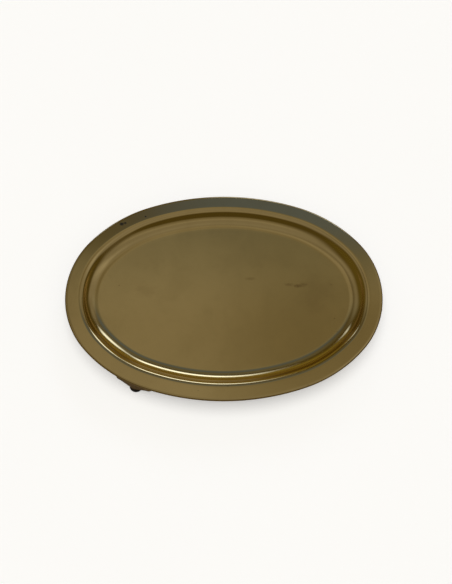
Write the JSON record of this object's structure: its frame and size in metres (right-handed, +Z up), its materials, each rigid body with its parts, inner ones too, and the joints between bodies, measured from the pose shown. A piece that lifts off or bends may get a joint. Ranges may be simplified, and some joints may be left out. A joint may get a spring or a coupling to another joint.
{
  "type": "serving tray",
  "caption": "Oval brass serving tray with a sunk floor and a flat rim, standing on splayed feet with black rubber tips.",
  "frame": {"origin": "on the table, under the middle of the tray", "axes": "+X along the tray's length, towards the end with the single foot; +Y across it, away from the front; +Z up"},
  "size_m": [0.3235, 0.2186, 0.025],
  "materials": {
    "tray_brass": "satin, aged brass with a soft grain and faint stains",
    "wire_steel": "drawn wire",
    "block_brass": "sawn brass with solder at its edges",
    "foot_brass": "cast brass, darkened",
    "tip_rubber": "matt moulded rubber",
    "screw_steel": "zinc-plated steel"
  },
  "bodies": {
    "root": {"tray_body": "tray_brass", "edge_wire": "wire_steel", "front_block": "block_brass", "back_block": "block_brass", "right_block": "block_brass", "front_foot": "foot_brass", "back_foot": "foot_brass", "right_foot": "foot_brass", "front_tip": "tip_rubber", "back_tip": "tip_rubber", "right_tip": "tip_rubber", "foot_screws": "screw_steel", "spring_washers": "screw_steel"}
  },
  "joints": []
}
